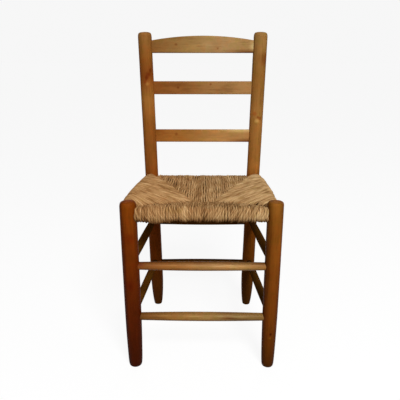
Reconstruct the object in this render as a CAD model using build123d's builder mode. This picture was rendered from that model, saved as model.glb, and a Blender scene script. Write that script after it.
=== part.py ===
"""Ladder-back chair with a rush seat: turned posts, flat slats, round stretchers, wound rush.

Millimetres, +Z up, front towards -Y, origin on the floor at the middle of the bounding box.
"""

import os
from math import cos, radians, sin, sqrt, tan
from typing import NamedTuple

from build123d import *

# Stance: the front posts stand plumb, the back posts splay outwards and rake backwards (degrees)
front_post_spacing = 360.0
back_foot_spacing = 298.0
foot_depth = 318.0
back_splay = 1.3
back_rake = 2.7

# Turned posts: a straight shaft, a tapered calf, a bevelled foot and a domed crown
front_post_diameter = 41.0
front_foot_diameter = 33.5
front_taper_height = 135.0
front_post_above_rail = 33.0
back_post_diameter = 40.0
back_foot_diameter = 26.5
back_taper_height = 90.0
back_post_above_crest = 22.0
foot_bevel = 2.5
foot_allowance = 2.0
calf_curve = 1.6
crown_height = 7.0
crown_flatness = 0.6
outline_steps = 2

# Round bars: seat rails and stretchers, and how their tenons pass each other inside a post
seat_rail_height = 437.5
seat_fall = 13.0
side_rise = 8.0
rail_width = 24.0
rail_depth = 26.0
rail_bevel = 6.0
rail_tenon_diameter = 14.0
rail_shoulder_gap = 1.0
lower_stretcher_height = 149.5
stretcher_spacing = 147.0
upper_stretcher_fall = 5.0
stretcher_diameter = 21.0
tenon_web = 2.0
glue_gap = 0.1
socket_end_gap = 0.5

# Back slats, let into mortises in the back posts
lower_slat_above_rail = 125.7
slat_height = 38.0
crest_end_height = 35.5
crest_arch = 12.5
lower_slat_gap = 104.8
upper_slat_gap = 80.0
slat_thickness = 9.0
slat_edge_round = 2.5
mortise_depth = 16.0

# Rush seat: cord wound round the rails, dished towards the two tips where the seams end
cord_diameter = 6.5
cord_pitch = 10.8
cord_groove = 3.4
seat_middle_height = 418.0
stuffing_thickness = 11.0
seat_padding = 1.15
tip_spacing = 56.0
tip_setback = 142.0
rush_lap = 4.0
rush_gap = 0.3
seam_overrun = 1.5
layer_steps = 2

sides = {"left": -1, "right": 1}
up = Vector(0, 0, 1)


class Post(NamedTuple):
    """A turned post: a straight axis that may lean, its shaft's radius and its foot's."""

    foot: Vector
    lean: Vector
    height: float
    radius: float
    foot_radius: float
    taper_height: float

    def at(self, height):
        return self.foot + self.lean * height


class Bar(NamedTuple):
    """A rail or stretcher with a round tenon at each end, running from one post's axis to another's."""

    start: Post
    end: Post
    start_height: float
    end_height: float
    tenon_radius: float

    def axis_points(self):
        return self.start.at(self.start_height), self.end.at(self.end_height)

    def reach(self):
        """Where a socket ends, measured from the post's axis: the tenons that cross there, one
        side_rise above the other, keep tenon_web of wood between them."""
        half_rise = (side_rise - tenon_web) / 2
        return sqrt(max(self.tenon_radius**2 - half_rise**2, 0))


# Heights that follow from the driving dimensions, and the frame's place in depth
front_post_height = seat_rail_height + front_post_above_rail
back_rail_height = seat_rail_height - seat_fall
lower_slat_base = back_rail_height + lower_slat_above_rail
middle_slat_base = lower_slat_base + slat_height + lower_slat_gap
crest_base = middle_slat_base + slat_height + upper_slat_gap
back_post_height = crest_base + crest_end_height + back_post_above_crest
back_lean = Vector(tan(radians(back_splay)), tan(radians(back_rake)), 1)
rake_sine = back_lean.Y / back_lean.length
back_shaft_height = back_post_height - crown_height / back_lean.length
back_reach = (
    foot_depth + back_shaft_height * back_lean.Y + back_post_diameter / 2 * sqrt(1 - rake_sine**2)
)
front_y = (front_post_diameter / 2 - back_reach) / 2
back_y = front_y + foot_depth


def place_posts():
    """Both rows of posts by name, the back row leaning away from the seat on each side."""
    posts = {}
    for name, side in sides.items():
        posts[f"front_post_{name}"] = Post(
            Vector(side * front_post_spacing / 2, front_y, 0),
            up,
            front_post_height,
            front_post_diameter / 2,
            front_foot_diameter / 2,
            front_taper_height,
        )
        posts[f"back_post_{name}"] = Post(
            Vector(side * back_foot_spacing / 2, back_y, 0),
            Vector(side * back_lean.X, back_lean.Y, 1),
            back_post_height,
            back_post_diameter / 2,
            back_foot_diameter / 2,
            back_taper_height,
        )
    return posts


posts = place_posts()
front_left, front_right = posts["front_post_left"], posts["front_post_right"]
back_left, back_right = posts["back_post_left"], posts["back_post_right"]


def bar_ring(suffix, front_height, back_height, tenon_diameter):
    """Four bars round the chair, counter-clockwise from above, the side ones entering higher."""
    corners = [
        ("front", front_left, front_right, front_height, front_height),
        ("right", front_right, back_right, front_height + side_rise, back_height + side_rise),
        ("back", back_right, back_left, back_height, back_height),
        ("left", back_left, front_left, back_height + side_rise, front_height + side_rise),
    ]
    return {
        f"{name}_{suffix}": Bar(start, end, low, high, tenon_diameter / 2)
        for name, start, end, low, high in corners
    }


upper_stretcher_height = lower_stretcher_height + stretcher_spacing
rails = bar_ring("seat_rail", seat_rail_height, back_rail_height, rail_tenon_diameter)
stretchers = {
    **bar_ring(
        "upper_stretcher",
        upper_stretcher_height,
        upper_stretcher_height - upper_stretcher_fall,
        stretcher_diameter,
    ),
    **bar_ring(
        "lower_stretcher", lower_stretcher_height, lower_stretcher_height, stretcher_diameter
    ),
}

# Plane of the two back posts' axes: X across, Y up the rake, normal towards the sitter
back_plane = Plane(
    origin=(0, back_y, 0), x_dir=(1, 0, 0), z_dir=Vector(1, 0, 0).cross(Vector(0, back_lean.Y, 1))
)


class Slat(NamedTuple):
    """A flat slat in the plane of the back, its ends let into the posts by mortise_depth."""

    base: float
    height: float
    arch: float

    def middle(self):
        return self.base + self.height / 2

    def shoulder(self):
        """Half the clear span between the posts."""
        return back_right.at(self.middle()).X - back_right.radius


slats = {
    "lower_slat": Slat(lower_slat_base, slat_height, 0),
    "middle_slat": Slat(middle_slat_base, slat_height, 0),
    "crest_slat": Slat(crest_base, crest_end_height, crest_arch),
}


def sockets_of(post):
    """Plane at the mouth, radius and depth of every round socket bored in a post."""
    sockets = []
    for bar in [*rails.values(), *stretchers.values()]:
        start, end = bar.axis_points()
        for owner, own, other in ((bar.start, start, end), (bar.end, end, start)):
            if owner == post:
                outward = (other - own).normalized()
                mouth = Plane(origin=own + outward * post.radius, z_dir=outward)
                sockets.append((mouth, bar.tenon_radius + glue_gap, post.radius - bar.reach()))
    return sockets


def post_outline(post):
    """Half outline of a post on its axis, from just below the floor to the domed crown."""
    top = post.height * post.lean.length
    sole_radius = post.foot_radius - foot_bevel - foot_allowance
    calf = []
    crown = []
    for step in range(outline_steps + 1):
        share = step / outline_steps
        swell = (post.radius - post.foot_radius) * (1 - (1 - share) ** calf_curve)
        calf.append((post.foot_radius + swell, foot_bevel + share * (post.taper_height - foot_bevel)))
        turn = radians(90 * share)
        crown.append((post.radius * cos(turn) ** crown_flatness, top - crown_height * (1 - sin(turn))))
    crown[-1] = (0, top)
    across = Vector(1, 0, 0).cross(post.lean)
    with BuildSketch(Plane(origin=post.foot, x_dir=post.lean.cross(across), z_dir=across)) as outline:
        with BuildLine():
            Polyline((0, -foot_allowance), (sole_radius, -foot_allowance), *calf, *crown, close=True)
        make_face()
    return outline.sketch


def turned_post(post):
    """A post with its sockets bored, cut flat on the floor."""
    with BuildPart() as turned:
        revolve(post_outline(post), axis=Axis(post.foot, post.lean))
        split(bisect_by=Plane.XY, keep=Keep.TOP)
        for mouth, radius, depth in sockets_of(post):
            with Locations(mouth):
                Hole(radius, depth)
    return turned.part


def back_post(post, side):
    """A leaning post that also takes the ends of the slats, in mortises on its inner side."""
    with BuildPart() as mortised:
        add(turned_post(post))
        for slat in slats.values():
            with Locations(back_plane.location * Location((side * slat.shoulder(), slat.middle(), 0))):
                Box(
                    2 * mortise_depth,
                    slat.height + 2 * glue_gap,
                    slat_thickness + 2 * glue_gap,
                    mode=Mode.SUBTRACT,
                )
    return mortised.part


def section_plane(bar):
    """Plane across a rail at its first post: X level towards the seat's middle, Y up."""
    start, end = bar.axis_points()
    return Plane(origin=start, x_dir=up.cross(end - start), z_dir=end - start)


def stretcher(bar):
    """A round bar let into the posts at its full thickness."""
    start, end = bar.axis_points()
    first = bar.reach() + socket_end_gap
    with BuildPart() as rung:
        with BuildSketch(section_plane(bar).offset(first)):
            Circle(bar.tenon_radius)
        extrude(amount=(end - start).length - 2 * first)
    return rung.part


def seat_rail(bar):
    """A bar with bevelled edges for the rush to wrap, and a round tenon at each end."""
    start, end = bar.axis_points()
    span = (end - start).length
    shoulder = bar.start.radius + rail_shoulder_gap
    far_shoulder = span - bar.end.radius - rail_shoulder_gap
    first = bar.reach() + socket_end_gap
    with BuildPart() as rail:
        with BuildSketch(section_plane(bar).offset(shoulder)) as section:
            Rectangle(rail_width, rail_depth)
            chamfer(section.vertices(), rail_bevel)
        extrude(amount=far_shoulder - shoulder)
        with BuildSketch(section_plane(bar).offset(first)):
            Circle(bar.tenon_radius)
        extrude(amount=span - 2 * first)
    return rail.part


def back_slat(slat):
    """A flat slat with softened long edges and a tenon at each end; the crest's top edge is arched."""
    shoulder = slat.shoulder()
    top = slat.base + slat.height
    tenon_length = mortise_depth - socket_end_gap
    with BuildPart() as board:
        with BuildSketch(back_plane):
            with BuildLine():
                sides_and_base = Polyline(
                    (-shoulder, top), (-shoulder, slat.base), (shoulder, slat.base), (shoulder, top)
                )
                if slat.arch:
                    ThreePointArc(sides_and_base @ 1, (0, top + slat.arch), sides_and_base @ 0)
                else:
                    Line(sides_and_base @ 1, sides_and_base @ 0)
            make_face()
        extrude(amount=slat_thickness / 2, both=True)
        flats = board.faces().filter_by(Axis((0, 0, 0), back_plane.z_dir))
        long_edges = flats.edges().filter_by(lambda edge: edge.length > slat.height)
        fillet(long_edges, slat_edge_round)
        for side in sides.values():
            middle = Location((side * (shoulder + tenon_length / 2), slat.middle(), 0))
            with Locations(back_plane.location * middle):
                Box(tenon_length, slat.height, slat_thickness)
    return board.part


# Plan points where the seams end, and the pair that bounds each rail's wedge
tip_left = Vector(-tip_spacing / 2, front_y + tip_setback, 0)
tip_right = Vector(tip_spacing / 2, front_y + tip_setback, 0)
wedge_tips = {
    "front": (tip_left, tip_right),
    "right": (tip_right, tip_right),
    "back": (tip_right, tip_left),
    "left": (tip_left, tip_left),
}
roll_width = rail_width / 2 + rush_gap
roll_height = rail_depth / 2 + rush_gap
roll_corner = rail_bevel + rush_gap * (2 - sqrt(2))


def layer_points(plane, tip, height_at_rail, height_at_tip, gap):
    """Points of one layer of cord in a rail's section, from near the rail in to the seam's tip:
    bedded on its stuffing, it falls little near the rail and more towards the seam."""
    inner = plane.to_local_coords(Vector(tip.X, tip.Y, height_at_tip))
    return [
        (
            inner.X * step / layer_steps,
            height_at_rail + (inner.Y - height_at_rail) * (step / layer_steps) ** seat_padding + gap,
        )
        for step in range(1, layer_steps + 1)
    ]


def wedge_plan(bar, tips):
    """Plan of a wedge, bounded by the seams from its two posts to the tips and run out past them."""
    corners = [tips[0]]
    for post, tip in ((bar.start, tips[0]), (bar.end, tips[1])):
        corners.append(tip + (post.at(seat_rail_height) - tip) * seam_overrun)
    if tips[1] != tips[0]:
        corners.append(tips[1])
    with BuildSketch() as plan:
        with BuildLine():
            Polyline(*((corner.X, corner.Y) for corner in corners), close=True)
        make_face()
    return plan.sketch


def rush_wedge(bar, tips):
    """Courses of cord wound round one rail: over the top from the seam, round and back below."""
    start, end = bar.axis_points()
    span = (end - start).length
    plane = section_plane(bar)
    upper = layer_points(plane, tips[0], roll_height, seat_middle_height - cord_diameter, 0)
    lower = layer_points(
        plane, tips[0], -roll_height, seat_middle_height - cord_diameter - stuffing_thickness, 0
    )
    roll = [
        (roll_width - roll_corner, roll_height),
        (roll_corner - roll_width, roll_height),
        (-roll_width, roll_height - roll_corner),
        (-roll_width, roll_corner - roll_height),
        (roll_corner - roll_width, -roll_height),
        (roll_width - roll_corner, -roll_height),
    ]
    first = bar.start.radius - rush_lap
    last = span - bar.end.radius + rush_lap
    courses = round((last - first) / cord_pitch)
    ridges = []
    for half in range(2 * courses + 1):
        crest = cord_diameter if half % 2 else cord_diameter - cord_groove
        ridges.append((first + (last - first) * half / (2 * courses), crest))
    with BuildPart() as wedge:
        with BuildLine(plane):
            loop = Polyline(*reversed(upper), *roll, *lower)
        with BuildSketch(Plane(loop @ 0, x_dir=end - start, z_dir=loop % 0)):
            with BuildLine():
                Polyline((first, 0), *ridges, (last, 0), close=True)
            make_face()
        sweep(transition=Transition.RIGHT)
        extrude(wedge_plan(bar, tips), amount=back_post_height, mode=Mode.INTERSECT)
        for post in (bar.start, bar.end):
            with Locations(Plane(origin=post.at(post.height / 2), z_dir=post.lean)):
                Cylinder(post.radius + rush_gap, post.height, mode=Mode.SUBTRACT)
    return wedge.part


def stuffing_wedge(bar, tips):
    """Waste rush packed between the two layers of one wedge."""
    start, end = bar.axis_points()
    plane = section_plane(bar)
    upper = layer_points(plane, tips[0], roll_height, seat_middle_height - cord_diameter, -rush_gap)
    lower = layer_points(
        plane,
        tips[0],
        -roll_height,
        seat_middle_height - cord_diameter - stuffing_thickness,
        rush_gap,
    )
    with BuildPart() as pad:
        with BuildSketch(plane):
            with BuildLine():
                Polyline(*upper, *reversed(lower), close=True)
            make_face()
        extrude(amount=(end - start).length)
        extrude(wedge_plan(bar, tips), amount=back_post_height, mode=Mode.INTERSECT)
    return pad.part


def finish(part, name):
    part.label = name
    export_step(part, f"parts/{name}.step")


os.makedirs("parts", exist_ok=True)
for side_name, side_sign in sides.items():
    finish(turned_post(posts[f"front_post_{side_name}"]), f"front_post_{side_name}")
    finish(back_post(posts[f"back_post_{side_name}"], side_sign), f"back_post_{side_name}")
for bar_name, bar in stretchers.items():
    finish(stretcher(bar), bar_name)
for bar_name, bar in rails.items():
    finish(seat_rail(bar), bar_name)
for slat_name, slat in slats.items():
    finish(back_slat(slat), slat_name)
for side_name, tips in wedge_tips.items():
    finish(rush_wedge(rails[f"{side_name}_seat_rail"], tips), f"rush_{side_name}")
with BuildPart() as stuffing:
    for side_name, tips in wedge_tips.items():
        add(stuffing_wedge(rails[f"{side_name}_seat_rail"], tips))
finish(stuffing.part, "seat_stuffing")
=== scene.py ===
"""Rush seat ladder-back chair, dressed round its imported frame: metres, +Z up, front towards -Y."""

import random
from math import cos, exp, pi, radians, sin, sqrt, tan

import bpy
from mathutils import Matrix, Vector, noise


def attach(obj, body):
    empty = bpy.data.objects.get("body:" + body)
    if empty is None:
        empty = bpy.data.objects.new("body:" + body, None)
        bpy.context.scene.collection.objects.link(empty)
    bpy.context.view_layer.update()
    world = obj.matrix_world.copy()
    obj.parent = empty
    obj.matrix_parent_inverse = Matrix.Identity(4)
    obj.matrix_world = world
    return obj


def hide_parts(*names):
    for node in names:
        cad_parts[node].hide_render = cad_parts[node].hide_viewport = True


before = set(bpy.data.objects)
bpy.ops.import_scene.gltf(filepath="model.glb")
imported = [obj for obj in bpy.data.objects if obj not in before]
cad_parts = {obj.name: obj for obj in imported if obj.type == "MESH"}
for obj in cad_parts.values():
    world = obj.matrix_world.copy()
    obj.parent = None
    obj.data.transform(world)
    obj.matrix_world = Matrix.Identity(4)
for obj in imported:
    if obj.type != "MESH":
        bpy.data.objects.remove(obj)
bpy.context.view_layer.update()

# Front posts: round legs turned from a fruitwood, straight down to the calf and then tapered to a
# small foot. Their top ends stand proud of the seat as worn knobs. Stained, varnished and handled.
# Painted shade darkens them towards the foot and down both sides, and the left post more than the
# right.


class Field:
    """A value that varies over a surface: a shader socket that takes part in arithmetic."""

    def __init__(self, finish, socket):
        self.finish = finish
        self.socket = socket

    def calc(self, operation, *values):
        return self.finish.add("ShaderNodeMath", {"operation": operation}, values)

    def __add__(self, other):
        return self.calc("ADD", self, other)

    def __sub__(self, other):
        return self.calc("SUBTRACT", self, other)

    def __rsub__(self, other):
        return self.calc("SUBTRACT", other, self)

    def __mul__(self, other):
        return self.calc("MULTIPLY", self, other)

    __radd__ = __add__
    __rmul__ = __mul__


class Finish:
    """A material and its nodes, all of them added through one method."""

    def __init__(self, name):
        self.material = bpy.data.materials.new(name)
        self.material.use_nodes = True
        self.tree = self.material.node_tree
        self.surface = self.tree.nodes["Principled BSDF"]

    def add(self, kind, settings=None, sockets=(), output=0):
        node = self.tree.nodes.new(kind)
        for key, value in (settings or {}).items():
            if key == "stops":
                ramp_stops = node.color_ramp.elements
                while len(ramp_stops) < len(value):
                    ramp_stops.new(1.0)
                for element, (position, colour) in zip(ramp_stops, value):
                    element.position = position
                    element.color = (*colour, 1.0)
            else:
                setattr(node, key, value)
        pairs = sockets.items() if isinstance(sockets, dict) else enumerate(sockets)
        for key, value in pairs:
            self.feed(node.inputs[key], value)
        return Field(self, node.outputs[output])

    def feed(self, socket, value):
        if isinstance(value, Field):
            self.tree.links.new(value.socket, socket)
        else:
            socket.default_value = value

    def mix(self, factor, under, over, how="MIX"):
        """Two colours mixed: the node takes them in sockets 6 and 7 and gives one in output 2."""
        settings = {"data_type": "RGBA", "blend_type": how, "clamp_factor": True}
        return self.add("ShaderNodeMix", settings, {0: factor, 6: under, 7: over}, 2)

    def tint(self, colour, share, by):
        """A colour multiplied by another where share is 1, and left alone where it is 0."""
        return self.mix(share, colour, (*by, 1.0), "MULTIPLY")

    def stretch(self, vector, scale, shift=(0.0, 0.0, 0.0)):
        settings = {"operation": "MULTIPLY_ADD"}
        return self.add("ShaderNodeVectorMath", settings, (vector, scale, shift))

    def cloud(self, vector, detail=2.0, roughness=0.5):
        sockets = {"Vector": vector, "Scale": 1.0, "Detail": detail, "Roughness": roughness}
        return self.add("ShaderNodeTexNoise", {}, sockets)

    def ease(self, value, low, high):
        settings = {"interpolation_type": "SMOOTHSTEP", "clamp": True}
        return self.add("ShaderNodeMapRange", settings, {0: value, 1: low, 2: high})

    def coat(self, colour, roughness, height, depth, strength, shine):
        bump = {"Height": height, "Distance": depth, "Strength": strength}
        self.feed(self.surface.inputs["Base Color"], colour)
        self.feed(self.surface.inputs["Roughness"], roughness)
        self.feed(self.surface.inputs["Normal"], self.add("ShaderNodeBump", {}, bump))
        self.feed(self.surface.inputs["Specular IOR Level"], shine)


def paint(red, green, blue):
    """A colour as seen, 0 to 255, as the light it reflects."""
    shares = (red / 255, green / 255, blue / 255)
    return tuple(s / 12.92 if s <= 0.04045 else ((s + 0.055) / 1.055) ** 2.4 for s in shares)


def wood(name, tones, span, along=2, seed=0.0, marks=(), shine=0.025):
    """Varnished wood. tones give its colour along the piece, as (share of span, colour), and marks
    its knots, stains, rubbed streaks, painted shade and painted highlights, as (place, width,
    length, tint)."""
    finish = Finish(name)
    place = finish.add("ShaderNodeTexCoord", {}, (), "Object")
    distance = finish.add("ShaderNodeSeparateXYZ", {}, (place,), along)
    low, high = span
    share = finish.add("ShaderNodeMapRange", {"clamp": True}, {0: distance, 1: low, 2: high})
    shade = finish.add("ShaderNodeValToRGB", {"stops": tones}, (share,))

    def grain(across, lengthwise, detail, roughness):
        scale = [across] * 3
        scale[along] = lengthwise
        spread = finish.stretch(place, scale, (seed, seed * 1.7, seed * 0.6))
        return finish.cloud(spread, detail, roughness)

    streak = grain(across=95.0, lengthwise=3.2, detail=5.0, roughness=0.6)
    patch = grain(across=30.0, lengthwise=9.0, detail=3.0, roughness=0.6)
    pore = grain(across=620.0, lengthwise=22.0, detail=2.0, roughness=0.5)
    pores = finish.ease(pore, 0.56, 0.72)
    mottle = finish.cloud(finish.stretch(place, (60.0, 60.0, 60.0), (seed, 4.0, seed)), 1.0, 0.5)
    figure = (streak - 0.5) + (patch - 0.5) * 1.9
    dark_figure = finish.ease(figure, 0.0, -0.55)
    pale_figure = finish.ease(figure, 0.0, 0.6)
    rosy_mottle = finish.ease(mottle, 0.5, 0.7)
    olive_mottle = finish.ease(mottle, 0.5, 0.3)
    shade = finish.tint(shade, dark_figure * 0.65, (0.46, 0.34, 0.24))
    shade = finish.tint(shade, pale_figure * 0.7, (1.45, 1.4, 1.3))
    shade = finish.tint(shade, pores * 0.35, (0.35, 0.24, 0.16))
    shade = finish.tint(shade, rosy_mottle * 0.7, (1.04, 0.93, 0.84))
    shade = finish.tint(shade, olive_mottle * 0.7, (0.90, 0.98, 0.78))
    for spot, width, length, tint in marks:
        squeeze = [1.0 / width] * 3
        squeeze[along] = 1.0 / length
        away = finish.add("ShaderNodeVectorMath", {"operation": "SUBTRACT"}, (place, spot))
        squeezed = finish.stretch(away, squeeze)
        reach = finish.add("ShaderNodeVectorMath", {"operation": "LENGTH"}, (squeezed,), "Value")
        near = finish.ease(reach + (streak - 0.5) * 0.8, 1.1, 0.1)
        shade = finish.tint(shade, near, tint)
    gloss = 0.4 + 0.22 * patch + 0.1 * pores
    relief = streak * 0.6 - pores * 0.8
    finish.coat(shade, gloss, relief, depth=0.0006, strength=0.35, shine=shine)
    return finish.material


def waver(amount, *where):
    """A smooth wander either way, by about amount at most, that depends on three numbers."""
    return noise.noise(Vector(where)) * amount


def curve_through(points, steps):
    """A smooth line through outline points, a Catmull-Rom spline with the ends kept."""

    def between(a, b, c, d, t):
        bend = (2 * a - 5 * b + 4 * c - d) * t * t
        return 0.5 * (2 * b + (c - a) * t + bend + (3 * b - a - 3 * c + d) * t**3)

    line = []
    padded = [points[0], *points, points[-1]]
    for stretch in zip(padded, padded[1:], padded[2:], padded[3:]):
        for step in range(steps):
            line.append(tuple(between(*values, step / steps) for values in zip(*stretch)))
    return [*line, points[-1]]


def dress(name, points, faces, material, node, stand=Matrix.Identity(4)):
    """A visible piece, made from a mesh, that takes the place of one CAD node."""
    mesh = bpy.data.meshes.new(name)
    mesh.from_pydata(points, [], faces)
    mesh.shade_smooth()
    mesh.materials.append(material)
    piece = bpy.data.objects.new(name, mesh)
    bpy.context.scene.collection.objects.link(piece)
    piece.matrix_world = stand
    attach(piece, "root")
    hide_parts(node)
    return mesh


out_of_true = 0.012  # of the radius


def turned(name, outline, foot, direction, seed, material, node, steps=5, sides=48):
    """A turned piece: (height, radius) points spun round an axis, a little out of true. What would
    dip under the floor, such as the edge of a raked foot, is cut level with it."""
    rows = curve_through(outline, steps)
    points = [(0.0, 0.0, rows[0][0])]
    for z, r in rows:
        for k in range(sides):
            turn = 2 * pi * k / sides
            radius = r * (1 + waver(out_of_true, cos(turn) * 0.7, sin(turn) * 0.7, z * 11 + seed))
            points.append((radius * cos(turn), radius * sin(turn), z))
    points.append((0.0, 0.0, rows[-1][0]))
    turn_to = Vector((0, 0, 1)).rotation_difference(Vector(direction)).to_matrix().to_4x4()
    stand = Matrix.Translation(foot) @ turn_to
    upright = stand[2][2]
    dips = [min((stand @ Vector(point)).z, 0.0) for point in points]
    points = [(x, y, z - dip / upright if dip else z) for (x, y, z), dip in zip(points, dips)]
    faces = []
    last = 1 + (len(rows) - 1) * sides
    for k in range(sides):
        after = (k + 1) % sides
        faces.append((0, 1 + after, 1 + k))
        faces.append((len(points) - 1, last + k, last + after))
        for low in range(1, last, sides):
            faces.append((low + k, low + after, low + sides + after, low + sides + k))
    dress(name, points, faces, material, node, stand)


front_y = -0.17905
front_spread = 0.180
front_height = 0.47
front_outline = [
    (0.0, 0.0138),
    (0.0015, 0.0155),
    (0.006, 0.0166),
    (0.012, 0.0172),
    (0.025, 0.0179),
    (0.050, 0.0187),
    (0.090, 0.0196),
    (0.140, 0.0202),
    (0.200, 0.0205),
    (0.300, 0.0206),
    (0.400, 0.0204),
    (0.452, 0.0202),
]
front_crowns = {
    "left": [
        (0.460, 0.0203),
        (0.465, 0.0190),
        (0.468, 0.0164),
        (0.4695, 0.0120),
        (0.4702, 0.0060),
        (0.4703, 0.0015),
    ],
    "right": [
        (0.461, 0.0198),
        (0.4655, 0.0192),
        (0.4682, 0.0178),
        (0.4695, 0.0152),
        (0.4702, 0.0080),
        (0.4703, 0.0015),
    ],
}
front_girth = {"left": 1.025, "right": 0.98}
# Painted shade: each post is darker towards its foot, for shade near the floor, and the left post is
# darker than the right, for light from the right.
front_tones = {
    "left": [
        (0.0, paint(62, 19, 2)),
        (0.3, paint(81, 28, 3)),
        (0.62, paint(105, 42, 4)),
        (1.0, paint(122, 58, 8)),
    ],
    "right": [
        (0.0, paint(76, 38, 4)),
        (0.3, paint(114, 57, 10)),
        (0.62, paint(124, 66, 16)),
        (1.0, paint(132, 80, 24)),
    ],
}
# Tints both real knots and the painted shade along the slats' lower edges.
knot_and_edge_shade = (0.42, 0.26, 0.16)
rubbed = (1.5, 1.9, 2.3)
reddened = (0.95, 0.66, 0.52)
stained = (0.66, 0.44, 0.3)
handled = (1.12, 1.16, 1.35)
# Tints for painted shade: they darken the edges of posts and rungs that turn away from the light.
deep_painted_shade = (0.38, 0.32, 0.30)
soft_painted_shade = (0.72, 0.66, 0.6)
# The two long marks down each front post's sides are painted shade.
front_marks = {
    "left": [
        ((-0.0205, 0.0, 0.230), 0.0260, 0.600, deep_painted_shade),
        ((0.0205, 0.0, 0.230), 0.0230, 0.600, soft_painted_shade),
        ((0.0040, -0.0200, 0.378), 0.0220, 0.022, reddened),
        ((-0.0030, -0.0200, 0.250), 0.0200, 0.020, reddened),
    ],
    "right": [
        ((-0.0205, 0.0, 0.230), 0.0240, 0.600, deep_painted_shade),
        ((0.0205, 0.0, 0.230), 0.0230, 0.600, soft_painted_shade),
        ((0.0000, -0.0150, 0.455), 0.0240, 0.0240, handled),
        ((0.0016, -0.0195, 0.108), 0.0058, 0.0058, knot_and_edge_shade),
        ((0.0000, -0.0195, 0.096), 0.0050, 0.0050, rubbed),
    ],
}
hands = (("left", -1), ("right", 1))


def front_profile(side):
    """One front post's outline: each leg has its own girth, and the more so towards its foot."""
    girth = front_girth[side]
    leg = [(z, r * girth ** (2 - z / front_height)) for z, r in front_outline]
    return leg + front_crowns[side]


def front_axis(sign, height):
    """A point on a front post's axis at a height above the floor."""
    return Vector((sign * front_spread, front_y, height))


for side, sign in hands:
    varnish = wood(
        f"front_post_{side}_varnish",
        front_tones[side],
        span=(0.0, front_height),
        seed=5.0 + sign,
        marks=front_marks[side],
    )
    turned(
        f"front_post_{side}_turned",
        front_profile(side),
        foot=front_axis(sign, 0.0),
        direction=(0, 0, 1),
        seed=3.0 * sign,
        material=varnish,
        node=f"front_post_{side}",
    )

# Back posts: longer turned posts that splay outwards and rake backwards, with tapered feet and
# blunt rounded tops. Faded honey above the seat, and painted dark below it for the shade under the
# seat.

back_y = 0.13895
back_spread = 0.149
back_splay = tan(radians(1.3))
back_rake = tan(radians(2.7))
back_height = 0.8685
back_length = back_height * sqrt(1 + back_splay**2 + back_rake**2)
back_outline = [
    (0.0, 0.0104),
    (0.0015, 0.0120),
    (0.006, 0.0131),
    (0.012, 0.0141),
    (0.025, 0.0158),
    (0.040, 0.0172),
    (0.055, 0.0183),
    (0.077, 0.0193),
    (0.110, 0.0198),
    (0.200, 0.0199),
    (0.500, 0.0199),
    (0.700, 0.0200),
    (back_length - 0.030, 0.0200),
    (back_length - 0.012, 0.0198),
    (back_length - 0.006, 0.0187),
    (back_length - 0.003, 0.0166),
    (back_length - 0.0012, 0.0120),
    (back_length - 0.0006, 0.0060),
    (back_length - 0.0005, 0.0015),
]
# Painted shade: below the seat, up to a share of about 0.48, the tones are dark for the shade under
# the seat.
back_tones = {
    "left": [
        (0.0, paint(76, 38, 4)),
        (0.12, paint(88, 42, 4)),
        (0.27, paint(128, 58, 6)),
        (0.48, paint(130, 62, 10)),
        (0.55, paint(140, 80, 30)),
        (0.70, paint(144, 86, 33)),
        (0.78, paint(158, 104, 46)),
        (0.86, paint(126, 66, 22)),
        (0.92, paint(138, 84, 32)),
        (1.0, paint(146, 100, 50)),
    ],
    "right": [
        (0.0, paint(72, 40, 6)),
        (0.12, paint(82, 44, 6)),
        (0.27, paint(118, 62, 9)),
        (0.48, paint(124, 66, 13)),
        (0.55, paint(154, 100, 44)),
        (0.74, paint(154, 106, 52)),
        (0.86, paint(140, 94, 42)),
        (1.0, paint(148, 110, 60)),
    ],
}
back_marks = {
    "left": [
        ((0.0130, -0.0150, 0.762), 0.0085, 0.0085, stained),
        ((0.0078, -0.0184, 0.751), 0.0105, 0.0105, stained),
        ((0.0020, -0.0199, 0.741), 0.0085, 0.0085, stained),
        ((-0.0040, -0.0196, 0.730), 0.0075, 0.0075, reddened),
        ((0.0030, -0.0198, 0.724), 0.0075, 0.0075, rubbed),
    ],
    "right": [
        ((-0.0080, -0.0180, 0.637), 0.0100, 0.0100, reddened),
        ((0.0090, -0.0178, 0.624), 0.0075, 0.0075, stained),
        ((0.0030, -0.0197, 0.627), 0.0055, 0.0055, stained),
        ((0.0005, -0.0200, 0.616), 0.0085, 0.0085, rubbed),
        ((0.0165, -0.0110, 0.795), 0.0300, 0.0300, stained),
    ],
}


def back_axis(sign, height):
    """A point on a back post's axis at a height above the floor."""
    x = sign * (back_spread + back_splay * height)
    return Vector((x, back_y + back_rake * height, height))


for side, sign in hands:
    varnish = wood(
        f"back_post_{side}_varnish",
        back_tones[side],
        span=(0.0, back_length),
        seed=9.0 + sign,
        marks=back_marks[side],
    )
    turned(
        f"back_post_{side}_turned",
        back_outline,
        foot=back_axis(sign, 0.0),
        direction=(sign * back_splay, back_rake, 1.0),
        seed=11.0 * sign,
        material=varnish,
        node=f"back_post_{side}",
    )

# Stretchers: eight round rungs, a little thicker at the middle than at the posts, glued into blind
# sockets. The front pair is rubbed pale by feet, with pale streaks along the top that are partly
# painted highlight, and painted shade under them and along the upper one's top. The sides and back
# are painted dark for the shade under the seat.

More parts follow.
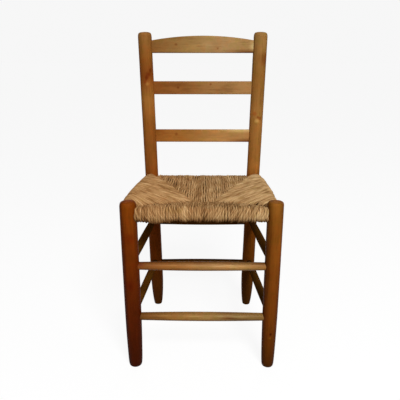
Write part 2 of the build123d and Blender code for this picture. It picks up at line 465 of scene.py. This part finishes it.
upper_height = 0.2965
lower_height = 0.1495
upper_fall = 0.005
side_rise = 0.008
socket_reach = 0.0099
rung_shoulder = 0.012
rung_swell = ((0.16, 0.45), (0.33, 0.86), (0.5, 1.0), (0.67, 0.86), (0.84, 0.45))
rung_tones = {
    "front_upper": [
        (0.0, paint(128, 68, 20)),
        (0.3, paint(150, 98, 44)),
        (0.62, paint(172, 126, 74)),
        (0.8, paint(166, 124, 70)),
        (1.0, paint(150, 102, 48)),
    ],
    "front_lower": [
        (0.0, paint(98, 56, 14)),
        (0.25, paint(134, 92, 40)),
        (0.55, paint(156, 116, 62)),
        (0.75, paint(136, 103, 56)),
        (0.88, paint(134, 101, 52)),
        (1.0, paint(136, 98, 48)),
    ],
    # The side and back rungs are painted dark for the shade under the seat.
    "left": [(0.0, paint(80, 46, 11)), (0.5, paint(92, 56, 15)), (1.0, paint(76, 44, 10))],
    "right": [(0.0, paint(70, 42, 11)), (0.5, paint(82, 51, 15)), (1.0, paint(68, 40, 10))],
    "back": [(0.0, paint(80, 46, 10)), (0.5, paint(96, 58, 15)), (1.0, paint(80, 46, 10))],
}
# Pale streaks along the top front of the front rungs: partly real scuffs and partly a painted
# highlight.
scuff_and_highlight = (1.25, 1.45, 1.75)
rung_marks = {
    "front_upper": [
        ((-0.0060, -0.0100, 0.080), 0.0016, 0.050, scuff_and_highlight),
        ((-0.0055, -0.0104, 0.150), 0.0018, 0.036, scuff_and_highlight),
        ((-0.0045, -0.0109, 0.212), 0.0020, 0.026, scuff_and_highlight),
        ((-0.0065, -0.0098, 0.238), 0.0022, 0.022, scuff_and_highlight),
        ((-0.0030, -0.0114, 0.248), 0.0018, 0.020, scuff_and_highlight),
        ((-0.0052, -0.0104, 0.268), 0.0016, 0.018, scuff_and_highlight),
        ((-0.0080, -0.0085, 0.012), 0.0100, 0.020, stained),
        # Painted shade along the upper rung's top, and under it.
        ((-0.0122, 0.0000, 0.170), 0.0120, 0.600, deep_painted_shade),
        ((0.0095, -0.0085, 0.170), 0.0110, 0.600, soft_painted_shade),
    ],
    "front_lower": [
        ((-0.0070, -0.0096, 0.070), 0.0022, 0.030, scuff_and_highlight),
        ((-0.0060, -0.0102, 0.150), 0.0024, 0.034, scuff_and_highlight),
        ((-0.0030, -0.0114, 0.185), 0.0018, 0.020, scuff_and_highlight),
        ((-0.0065, -0.0100, 0.222), 0.0036, 0.026, scuff_and_highlight),
        ((-0.0010, -0.0118, 0.244), 0.0030, 0.030, stained),
        ((-0.0060, -0.0098, 0.268), 0.0036, 0.030, scuff_and_highlight),
        # Painted shade under the lower rung.
        ((0.0095, -0.0085, 0.170), 0.0110, 0.600, soft_painted_shade),
    ],
}


def rung(name, tones, start, end, seed, neck=0.0092, middle=0.0110, shine=0.0, marks=()):
    """One stretcher between two post axes, its ends hidden in their sockets. neck and middle are
    its radius at the posts and half way."""
    run = end - start
    length = run.length - 2 * socket_reach
    shoulder = neck + 0.0002
    outline = [(0.0, neck), (rung_shoulder, shoulder)]
    for share, swell in rung_swell:
        outline.append((length * share, neck + (middle - neck) * swell))
    outline += [(length - rung_shoulder, shoulder), (length, neck)]
    turned(
        f"{name}_rung",
        outline,
        foot=start + run.normalized() * socket_reach,
        direction=run,
        seed=seed,
        material=wood(f"{name}_varnish", tones, (0.0, length), 2, seed, marks, shine),
        node=name,
        steps=4,
        sides=32,
    )


for level, height, fall in (("upper", upper_height, upper_fall), ("lower", lower_height, 0.0)):
    rung(
        f"front_{level}_stretcher",
        rung_tones[f"front_{level}"],
        front_axis(-1, height),
        front_axis(1, height),
        seed=21.0 + height * 10,
        neck=0.0100,
        middle=0.0122,
        shine=0.13,
        marks=rung_marks[f"front_{level}"],
    )
    rung(
        f"back_{level}_stretcher",
        rung_tones["back"],
        back_axis(-1, height - fall),
        back_axis(1, height - fall),
        seed=31.0 + height * 10,
    )
    for side, sign in hands:
        rung(
            f"{side}_{level}_stretcher",
            rung_tones[side],
            front_axis(sign, height + side_rise),
            back_axis(sign, height - fall + side_rise),
            seed=41.0 + sign + height * 10,
        )

# Back slats: flat boards with softened edges, the crest arched along its top. Their ends are let
# into mortises in the back posts. Honey varnish, painted paler to the right for light from that
# side, with knots, worn edges and painted shade along the lower edges at the right ends.

# Painted light: each slat is paler to the right, for light falling from the right.
slat_tones = {
    "crest_slat": [
        (0.0, paint(129, 87, 42)),
        (0.4, paint(153, 117, 68)),
        (0.7, paint(166, 129, 84)),
        (1.0, paint(160, 123, 74)),
    ],
    "middle_slat": [
        (0.0, paint(134, 77, 30)),
        (0.3, paint(144, 92, 45)),
        (0.6, paint(157, 113, 65)),
        (1.0, paint(168, 124, 75)),
    ],
    "lower_slat": [
        (0.0, paint(155, 92, 37)),
        (0.3, paint(160, 105, 47)),
        (0.6, paint(169, 122, 69)),
        (1.0, paint(175, 129, 77)),
    ],
}
smudge = (0.68, 0.5, 0.38)
faded = (1.14, 1.2, 1.3)
slat_marks = {
    "crest_slat": [
        ((-0.0775, 0.172, 0.834), 0.0055, 0.0055, smudge),
        ((0.0440, 0.172, 0.823), 0.0050, 0.0050, smudge),
        # Painted shade: a dark strip along the crest's lower edge at its right end.
        ((0.1450, 0.1727, 0.8095), 0.0165, 0.0950, knot_and_edge_shade),
        ((0.1480, 0.1735, 0.8270), 0.0200, 0.0160, rubbed),
        ((0.0150, 0.1738, 0.8320), 0.0140, 0.0240, faded),
    ],
    "middle_slat": [
        ((-0.0730, 0.168, 0.712), 0.0050, 0.0050, smudge),
        ((0.0240, 0.168, 0.722), 0.0050, 0.0050, smudge),
    ],
    "lower_slat": [
        ((-0.0800, 0.161, 0.5735), 0.0065, 0.0065, smudge),
        # Painted shade: a dark strip along the lower slat's lower edge at its right end.
        ((0.1420, 0.1604, 0.5490), 0.0140, 0.0700, knot_and_edge_shade),
        ((0.1150, 0.1625, 0.5865), 0.0110, 0.0650, rubbed),
    ],
}
slat_span = (-0.15, 0.15)
for number, name in enumerate(("lower_slat", "middle_slat", "crest_slat")):
    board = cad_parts[name]
    grain_seed = 51.0 + 3 * number
    varnish = wood(f"{name}_varnish", slat_tones[name], slat_span, 0, grain_seed, slat_marks[name])
    board.data.materials.clear()
    board.data.materials.append(varnish)
    board.data.shade_smooth()

# Seat rails: bare bars with bevelled edges and round tenons, set level at the front and back and a
# little higher at the sides. The rush hides them all but for a glimpse between cords.

edges = ("front", "right", "back", "left")
rail_tones = [(0.0, paint(128, 92, 52)), (1.0, paint(138, 100, 58))]
rail_wood = wood("rail_bare_wood", rail_tones, span=(-0.2, 0.2), along=0, seed=71.0)
for edge in edges:
    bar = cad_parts[f"{edge}_seat_rail"]
    bar.data.materials.clear()
    bar.data.materials.append(rail_wood)

# Rush: marsh leaves twisted into cord as it is wound over a rail, down through the seat and over
# the next, so that four wedges of cord meet in seams from the corners and dish towards the middle.

rail_height = 0.4375
seat_fall = 0.013
cord_radius = 0.0033
cord_pitch = 0.0063
cord_sides = 10
cord_step = 0.0045  # between points along a cord
cord_flatness = 0.94
lobe_depth = 0.1  # of the twist's two lobes, as a share of the radius
post_tuck = 0.0035  # how far the first and last cord press into the posts
roll_half_width = 0.0123 + cord_radius
roll_half_height = 0.0133 + cord_radius
roll_steps = 12  # round a rail
roll_squareness = 0.95
seat_middle = 0.4235 - cord_radius
layer_drop = 0.0265
dish_curve = 1.15
dive_length = 0.011  # over which a cord turns down into its seam
dive_depth = 0.011
short_run = 0.05  # cords shorter than this dive less
under_dive = 0.006
belly_fade = 0.05
belly_lift = 0.5
lump_depth = 0.006
lump_middle = 0.065  # along the front rail from its left end
lump_width = 0.032
corner_sag = 0.003
corner_fade = 0.05
lighter_seam_fade = 0.09  # how far back from the front corners the side seams are painted less dark
tip_left = -0.0245
tip_right = 0.0280
tip_y = front_y + 0.142
tips = {
    "front": (tip_left, tip_right),
    "right": (tip_right, tip_right),
    "back": (tip_right, tip_left),
    "left": (tip_left, tip_left),
}
back_rail_height = rail_height - seat_fall
right_ends = (front_axis(1, rail_height + side_rise), back_axis(1, back_rail_height + side_rise))
left_ends = (back_axis(-1, back_rail_height + side_rise), front_axis(-1, rail_height + side_rise))
rail_ends = {
    "front": (front_axis(-1, rail_height), front_axis(1, rail_height)),
    "right": right_ends,
    "back": (back_axis(1, back_rail_height), back_axis(-1, back_rail_height)),
    "left": left_ends,
}
front_radius = 0.0205
back_radius = 0.020
post_radius = {
    "front": (front_radius, front_radius),
    "right": (front_radius, back_radius),
    "back": (back_radius, back_radius),
    "left": (back_radius, front_radius),
}
bellies = {
    "front": [(0.0, 0.0), (0.5, 0.001), (1.0, 0.0)],
    "right": [(0.0, -0.006), (0.2, 0.0), (0.45, 0.005), (0.75, 0.0072), (0.9, 0.005), (1.0, 0.001)],
    "back": [(0.0, 0.0), (1.0, 0.0)],
    "left": [(0.0, 0.0), (0.2, 0.004), (0.4, 0.006), (0.6, 0.0076), (0.8, 0.0066), (1.0, 0.003)],
}
leans = {"front": 0.0, "right": -0.2, "back": 0.0, "left": 0.2}
drops = {"front": 0.0, "right": 0.002, "back": 0.0, "left": 0.012}


def ramp(value, low, high):
    """A smooth step from 0 at low to 1 at high."""
    share = min(max((value - low) / (high - low), 0.0), 1.0)
    return share * share * (3 - 2 * share)


class Wedge:
    """One rail's share of the seat: how far a cord runs in from the rail, how it dips towards the
    middle, and how the roll bellies out and up between its posts. A place in it is s along the
    rail, u inwards from the rail's axis and h above that axis."""

    def __init__(self, edge):
        self.edge = edge
        self.seed = 100 + edges.index(edge)
        self.belly = bellies[edge]
        self.lean = leans[edge]
        self.drop = drops[edge]
        self.start, end = rail_ends[edge]
        run = end - self.start
        self.length = run.length
        self.along = run.normalized()
        self.inward = Vector((0, 0, 1)).cross(self.along).normalized()
        self.corners = []
        for x in tips[edge]:
            tip = Vector((x, tip_y, self.start.z)) - self.start
            self.corners.append((tip.dot(self.along), tip.dot(self.inward)))
        self.depth = max(inward for _, inward in self.corners)

    def reach(self, s):
        """Distance from the rail's axis to the seam, for a cord that leaves the rail at s."""
        (first, in_first), (second, in_second) = self.corners
        past_second = self.length - second + in_second * self.lean
        to_first = in_first * s / (first - in_first * self.lean)
        to_second = in_second * (self.length - s) / past_second
        return min(to_first, to_second, self.depth)

    def dip(self, u):
        return min(max(u / self.depth, 0.0), 1.0) ** dish_curve

    def rail_z(self, s):
        return self.start.z + self.along.z * s

    def top(self, s, u):
        fall = seat_middle - self.rail_z(s) - roll_half_height
        return roll_half_height + fall * self.dip(u)

    def under(self, s, u):
        rise = seat_middle - layer_drop - self.rail_z(s) + roll_half_height
        return -roll_half_height + rise * self.dip(u)

    def front_gap(self, s):
        """Distance along a side rail from its front end."""
        return s if self.lean < 0 else self.length - s

    def settle(self, s, u):
        """How far a side cord comes down to meet the front wedge at their seam."""
        nearness = max(1 - self.front_gap(s) / (tip_y - front_y), 0.0)
        return self.drop * nearness * ramp(u / self.reach(s), 0.2, 1.0)

    def bulge(self, s):
        """How far the roll stands out past its rail's line there."""
        share = min(max(s / self.length, 0.0), 1.0)
        for (low, out_low), (high, out_high) in zip(self.belly, self.belly[1:]):
            if share <= high:
                return out_low + (out_high - out_low) * ramp(share, low, high)
        return 0.0

    def point(self, s, u, h):
        out = self.bulge(s) * exp(-max(u, 0.0) / belly_fade)
        lift = belly_lift * out * min(max(h / roll_half_height, 0.0), 1.0)
        along = self.along * (s + self.lean * max(u, 0.0))
        return self.start + along + self.inward * (u - out) + Vector((0, 0, h + lift))


class Cord:
    """One cord of a wedge, up out of the seam, over the rail, round it and back below. Chance gives
    it its own girth, tone, twist and length."""

    def __init__(self, wedge, s, chance):
        self.wedge = wedge
        self.s = s
        self.girth = cord_radius * chance.uniform(0.84, 1.14)
        self.tone = 0.25 + 0.5 * chance.random()
        self.twist = chance.uniform(0.8, 1.2) * (-1 if s < wedge.length / 2 else 1)
        self.lay_start = chance.uniform(0, 2 * pi)
        self.offset = chance.uniform(0, 50)
        self.end = max(wedge.reach(s) + chance.uniform(-0.0020, 0.0058), 0.008)
        self.slack = chance.uniform(-0.0012, 0.0012)

    def line(self):
        """Its line as (u, h) points, each with how deep it is in the seam, 0 to 1, and how far
        round the roll it has come, 0 on top and 1 below."""
        s, end = self.s, self.end
        count = max(int(end / cord_step), 3)
        plunge = dive_depth * min(end / short_run, 1.0)
        line = []
        for step in range(count + 1):
            u = end * (1 - step / count)
            dive = max(1 - (end - u) / dive_length, 0.0)
            line.append((u, self.wedge.top(s, u) - plunge * dive**1.7, dive, 0.0))
        for step in range(1, roll_steps):
            turn = pi / 2 + pi * step / roll_steps
            across, rise = cos(turn), sin(turn)
            u = -roll_half_width * abs(across) ** roll_squareness
            h = roll_half_height * abs(rise) ** roll_squareness * (1 if rise > 0 else -1)
            line.append((u, h + self.slack * min(rise, 0.0), 0.0, step / roll_steps))
        for step in range(count + 1):
            u = end * step / count
            dive = max(1 - (end - u) / dive_length, 0.0)
            line.append((u, self.wedge.under(s, u) + under_dive * dive**2, dive, 1.0))
        return line

    def front_lump(self):
        """The slack loops that hang lower at the front left, and a little all along."""
        lump = lump_depth * exp(-(((self.s - lump_middle) / lump_width) ** 2))
        return lump + waver(0.0016, self.s * 55, 2.0, 7.0)

    def stations(self):
        """Its line in the seat, as (place, tone, dirt and shade, fullness, twist for each metre)."""
        wedge, s = self.wedge, self.s
        stations = []
        for u, h, dive, around in self.line():
            drift = waver(0.0024, s * 45, u * 26 + h * 30, wedge.seed)
            drift += waver(0.0012, self.offset, u * 70, h * 70)
            lift = waver(0.0013, s * 70, u * 30 + h * 25, wedge.seed + 9.0)
            below = ramp(around, 0.45, 0.8)
            outward = 1 - 2 * below
            # Painted shade where a cord dives into its seam, together with dirt there.
            tone, soil = self.tone, 0.9 * dive
            if wedge.edge == "front":
                lift += self.front_lump() * below
                corner = exp(-min(s, wedge.length - s) / corner_fade)
                lift -= corner_sag * corner * (1 - below)
                # Front roll: less painted shade in its seam; dirt all over and more on its upper
                # face; painted shade under it; and its tone painted a little paler on the face, a
                # painted highlight, and much darker underneath, painted shade.
                soil *= 0.4
                soil += 0.05 + 0.09 * ramp(around, 0.2, 0.4) + 0.5 * ramp(around, 0.55, 0.75)
                tone += 0.1 * ramp(around, 0.35, 0.5) - 0.4 * ramp(around, 0.6, 0.78) - 0.12
            elif wedge.edge != "back":
                lift -= wedge.settle(s, u) * (1 - below)
                # Side seams are painted less dark near the front corners.
                soil *= 1 - 0.65 * exp(-wedge.front_gap(s) / lighter_seam_fade)
            place = wedge.point(s + drift, u, h + lift * outward)
            full = 1 + 0.1 * sin(pi * around) - 0.48 * dive
            turns = 50 + 120 * sin(pi * around)
            stations.append((place, tone, min(soil, 1.0), full, turns))
        return stations

    def rings(self):
        """Points round its line, oval and twisted, as (point, place on the strand, tone, dirt and
        shade).
        """
        along = self.wedge.along
        stations = self.stations()
        walked, lay_start = 0.0, self.lay_start
        rings = []
        for index, (place, tone, soil, full, turns) in enumerate(stations):
            before = stations[max(index - 1, 0)][0]
            after = stations[min(index + 1, len(stations) - 1)][0]
            heading = (after - before).normalized()
            beside = (along - heading * along.dot(heading)).normalized()
            outer = heading.cross(beside)
            if index:
                walked += (place - before).length
                lay_start += self.twist * turns * (place - before).length
            swell = full * (1 + waver(0.16, self.offset, walked * 60, 4.0))
            for k in range(cord_sides):
                turn = 2 * pi * k / cord_sides
                lay = turn - lay_start
                radius = self.girth * swell * (1 + lobe_depth * cos(2 * lay))
                aside = beside * (radius * cos(turn))
                out = outer * (radius * cord_flatness * sin(turn))
                strand = (cos(lay), sin(lay), walked + self.offset)
                rings.append((place + aside + out, strand, tone, soil))
        return rings


def tube_faces(base, end):
    """The faces of one cord, with both ends shut. Its rings are the points from base up to end."""
    faces = []
    last = end - cord_sides
    for low in range(base, last, cord_sides):
        high = low + cord_sides
        for k in range(cord_sides):
            after = (k + 1) % cord_sides
            faces.append((low + k, low + after, high + after, high + k))
    faces.append(tuple(base + k for k in reversed(range(cord_sides))))
    faces.append(tuple(last + k for k in range(cord_sides)))
    return faces


def wind(edge, material):
    """All the cords of one wedge as twisted strands, laid side by side along the rail."""
    wedge = Wedge(edge)
    chance = random.Random(wedge.seed)
    near, far = post_radius[edge]
    first, last = near - post_tuck, wedge.length - far + post_tuck
    count = round((last - first) / cord_pitch)
    rings, faces = [], []
    for number in range(count):
        base = len(rings)
        rings += Cord(wedge, first + (last - first) * (number + 0.5) / count, chance).rings()
        faces += tube_faces(base, len(rings))
    points, strands, tones, dirt_and_shade_values = zip(*rings)
    mesh = dress(f"rush_{edge}_cords", points, faces, material, f"rush_{edge}")
    lay_attribute = mesh.attributes.new("strand", "FLOAT_VECTOR", "POINT")
    lay_attribute.data.foreach_set("vector", [value for strand in strands for value in strand])
    for label, values in (("tone", tones), ("soil", dirt_and_shade_values)):
        mesh.attributes.new(label, "FLOAT", "POINT").data.foreach_set("value", values)


def twisted_rush():
    """Dry rush: straw to olive leaves, each cord of its own tone, with painted shade in grooves and
    seams.
    """
    finish = Finish("twisted_rush")
    strand = finish.add("ShaderNodeAttribute", {"attribute_name": "strand"}, (), "Vector")
    tone = finish.add("ShaderNodeAttribute", {"attribute_name": "tone"}, (), "Fac")
    place = finish.add("ShaderNodeTexCoord", {}, (), "Object")
    soil = finish.add("ShaderNodeAttribute", {"attribute_name": "soil"}, (), "Fac")

    def blotches(size, shift=(0.0, 0.0, 0.0)):
        return finish.cloud(finish.stretch(place, (size, size, size), shift))

    fibre = finish.cloud(finish.stretch(strand, (3.5, 3.5, 36.0)), 3.0, 0.6)
    leaf = finish.cloud(finish.stretch(strand, (1.3, 1.3, 18.0), (7.0, 3.0, 0.0)), 1.0, 0.5)
    mixed = tone * 0.42 + (leaf - 0.5) * 0.8 + (fibre - 0.5) * 0.9
    mixed = mixed + (blotches(28.0) - 0.5) * 0.5 + 0.22
    stops = [
        (0.0, paint(96, 65, 34)),
        (0.3, paint(165, 126, 83)),
        (0.6, paint(203, 166, 118)),
        (1.0, paint(234, 208, 162)),
    ]
    colour = finish.add("ShaderNodeValToRGB", {"stops": stops}, (mixed,))
    rosy = finish.ease(blotches(60.0, (3.0, 9.0, 1.0)), 0.52, 0.72)
    olive = finish.ease(blotches(50.0, (8.0, 2.0, 5.0)), 0.54, 0.74)
    colour = finish.tint(colour, rosy * 0.6, (0.94, 0.80, 0.74))
    colour = finish.tint(colour, olive * 0.6, (0.88, 0.92, 0.70))
    # Painted light: the rush is tinted warmer at the left and whiter at the right, for light from
    # the right.
    sideways = finish.add("ShaderNodeSeparateXYZ", {}, (place,), 0)
    rightward = finish.ease(sideways, -0.17, 0.17)
    painted_side_light = finish.mix(rightward, (0.96, 0.88, 0.80, 1.0), (1.02, 1.05, 1.05, 1.0))
    colour = finish.mix(1.0, colour, painted_side_light, "MULTIPLY")
    lay_x = finish.add("ShaderNodeSeparateXYZ", {}, (strand,), 0)
    # Painted shade in the grooves of each cord's twist.
    groove = finish.ease(lay_x * lay_x, 0.35, 0.0)
    colour = finish.tint(colour, groove * 0.45, (0.5, 0.38, 0.26))
    # Painted shade in the seams and under the front roll, with some dirt.
    colour = finish.tint(colour, soil * 0.85, (0.42, 0.29, 0.19))
    relief = fibre * 0.7 - groove * 0.6
    finish.coat(colour, 0.62 + 0.25 * fibre, relief, depth=0.0008, strength=0.5, shine=0.0)
    return finish.material


rush = twisted_rush()
for edge in edges:
    wind(edge, rush)

# Stuffing: waste ends of rush packed flat between the seat's two layers, wedge by wedge, so that
# the cords bed on it. It shows only as a dull brown in the gaps.

stuffing_start = 0.0125  # just inside a rail
stuffing_reach = 0.016  # the least, at a wedge's ends
stuffing_margin = 0.07  # share of a rail left bare at each end
stuffing_room = 0.0036  # below the upper cords' axes and above the lower ones'
stuffing_thinnest = 0.001
stuffing_rows = 24
stuffing_columns = 8


def stuffing_points(wedge):
    """A grid over one wedge, row by row along its rail, with an upper and a lower point in turn."""
    points = []
    for row in range(stuffing_rows + 1):
        share = stuffing_margin + (1 - 2 * stuffing_margin) * row / stuffing_rows
        s = wedge.length * share
        end = max(wedge.reach(s), stuffing_reach)
        for column in range(stuffing_columns + 1):
            u = stuffing_start + (end - stuffing_start) * column / stuffing_columns
            lump = waver(0.0012, s * 60, u * 60, 3.0)
            top = wedge.top(s, u) - wedge.settle(s, u)
            upper = wedge.point(s, u, top - stuffing_room + lump)
            lower = wedge.point(s, u, wedge.under(s, u) + stuffing_room + lump)
            upper.z = max(upper.z, lower.z + stuffing_thinnest)
            points += [upper, lower]
    return points


def stuffing_faces(base):
    """The faces of one wedge's pad, above, below and round its rim."""
    faces = []
    span = 2 * (stuffing_columns + 1)
    for row in range(stuffing_rows):
        inner = base + row * span
        outer = inner + 2 * stuffing_columns
        for a in range(inner, outer, 2):
            faces.append((a, a + span, a + span + 2, a + 2))
            faces.append((a + 1, a + 3, a + span + 3, a + span + 1))
        faces.append((inner, inner + 1, inner + span + 1, inner + span))
        faces.append((outer, outer + span, outer + span + 1, outer + 1))
    for column in range(stuffing_columns):
        a = base + 2 * column
        b = a + stuffing_rows * span
        faces.append((a, a + 2, a + 3, a + 1))
        faces.append((b, b + 1, b + 3, b + 2))
    return faces


def waste_rush():
    """Short dark ends of leaf, all of them dull."""
    finish = Finish("waste_rush")
    place = finish.add("ShaderNodeTexCoord", {}, (), "Object")
    ends = finish.cloud(finish.stretch(place, (300.0, 300.0, 90.0)), 3.0, 0.6)
    stops = [(0.2, paint(58, 38, 20)), (0.8, paint(120, 88, 52))]
    colour = finish.add("ShaderNodeValToRGB", {"stops": stops}, (ends,))
    finish.coat(colour, 0.8 + 0.15 * ends, ends, depth=0.001, strength=0.6, shine=0.0)
    return finish.material


pad_points, pad_faces = [], []
for edge in edges:
    pad_faces += stuffing_faces(len(pad_points))
    pad_points += stuffing_points(Wedge(edge))
dress("seat_stuffing_pad", pad_points, pad_faces, waste_rush(), "seat_stuffing")

# Stage: a pale floor in soft studio light. A large lamp hangs high at the front right, a weak one
# at the front left, and two broad washes come from behind, which reflections don't show. The camera
# is about as high as the crest slat and looks down, as in the photograph.


def bright_rays(finish):
    """1 for rays from the camera, straight or by way of a mirror or glass, and 0 for the rest."""
    kinds = ("Is Camera Ray", "Is Glossy Ray", "Is Transmission Ray")
    camera, glossy, glass = [finish.add("ShaderNodeLightPath", {}, (), kind) for kind in kinds]
    total = camera + glossy + glass
    return total.calc("MINIMUM", total, 1.0)


def lay_floor(half=30.0, bounce=0.42, seen_less=0.30, seen_glow=0.90):
    """A wide floor that glows where it is seen, and reflects light on to the chair all the same."""
    corners = [(-half, -half, 0.0), (half, -half, 0.0), (half, half, 0.0), (-half, half, 0.0)]
    mesh = bpy.data.meshes.new("floor")
    mesh.from_pydata(corners, [], [(0, 1, 2, 3)])
    finish = Finish("pale_floor")
    seen = bright_rays(finish)
    finish.feed(finish.surface.inputs["Base Color"], bounce - seen_less * seen)
    finish.feed(finish.surface.inputs["Emission Color"], seen_glow * seen)
    finish.surface.inputs["Emission Strength"].default_value = 1.0
    finish.surface.inputs["Specular IOR Level"].default_value = 0.0
    mesh.materials.append(finish.material)
    floor = bpy.data.objects.new("floor", mesh)
    bpy.context.scene.collection.objects.link(floor)


def hang_lamp(name, kind, power):
    lamp = bpy.data.lights.new(name, kind)
    lamp.energy = power
    holder = bpy.data.objects.new(name, lamp)
    bpy.context.scene.collection.objects.link(holder)
    return lamp, holder


def hang_softbox(name, spot, size, power, chair_middle=(0.0, 0.0, 0.45)):
    """A round lamp aimed at the middle of the chair."""
    lamp, holder = hang_lamp(name, "AREA", power)
    lamp.shape = "DISK"
    lamp.size = size
    aim = Vector(chair_middle) - Vector(spot)
    holder.location = spot
    holder.rotation_euler = aim.to_track_quat("-Z", "Y").to_euler()


def hang_wash(name, turn, power=1.2, blur=30, tilt=-84):
    """Broad light from low behind, for the back and sides, that leaves no glare along edges."""
    lamp, holder = hang_lamp(name, "SUN", power)
    lamp.angle = radians(blur)
    holder.rotation_euler = (radians(tilt), 0.0, radians(turn))
    holder.visible_glossy = False


lay_floor()
hang_softbox("key_lamp", (0.7, -2.2, 2.3), size=1.0, power=78.0)
hang_softbox("fill_lamp", (-1.2, -1.9, 2.0), size=1.2, power=4.0)
hang_wash("back_wash_left", 18)
hang_wash("back_wash_right", -18)


class Sky(Finish):
    """The studio's surroundings, through the same node method as a material."""

    def __init__(self, name):
        self.world = bpy.data.worlds.new(name)
        self.world.use_nodes = True
        self.tree = self.world.node_tree


white = (1.0, 1.0, 1.0, 1.0)
room_light = 0.15
backdrop_light = 0.928
sky = Sky("studio")
room = sky.tree.nodes["Background"]
room.inputs["Color"].default_value = white
room.inputs["Strength"].default_value = room_light
glow = sky.add("ShaderNodeEmission", {}, {"Color": white, "Strength": backdrop_light})
choice = (bright_rays(sky), Field(sky, room.outputs[0]), glow)
backdrop = sky.add("ShaderNodeMixShader", {}, choice)
sky.feed(sky.tree.nodes["World Output"].inputs["Surface"], backdrop)
bpy.context.scene.world = sky.world
bpy.context.scene.view_settings.view_transform = "Standard"

photo_width = 400
focal_length = 455.5  # both in the photograph's pixels
look_down = 0.3174
look_left = 0.0101  # both in radians
camera = bpy.data.cameras.new("camera")
camera.sensor_width = 36.0
camera.lens = camera.sensor_width * focal_length / photo_width
viewer = bpy.data.objects.new("camera", camera)
bpy.context.scene.collection.objects.link(viewer)
viewer.location = (0.0065, -1.2269, 0.8175)
viewer.rotation_euler = (pi / 2 - look_down, 0.0, look_left)
bpy.context.scene.camera = viewer
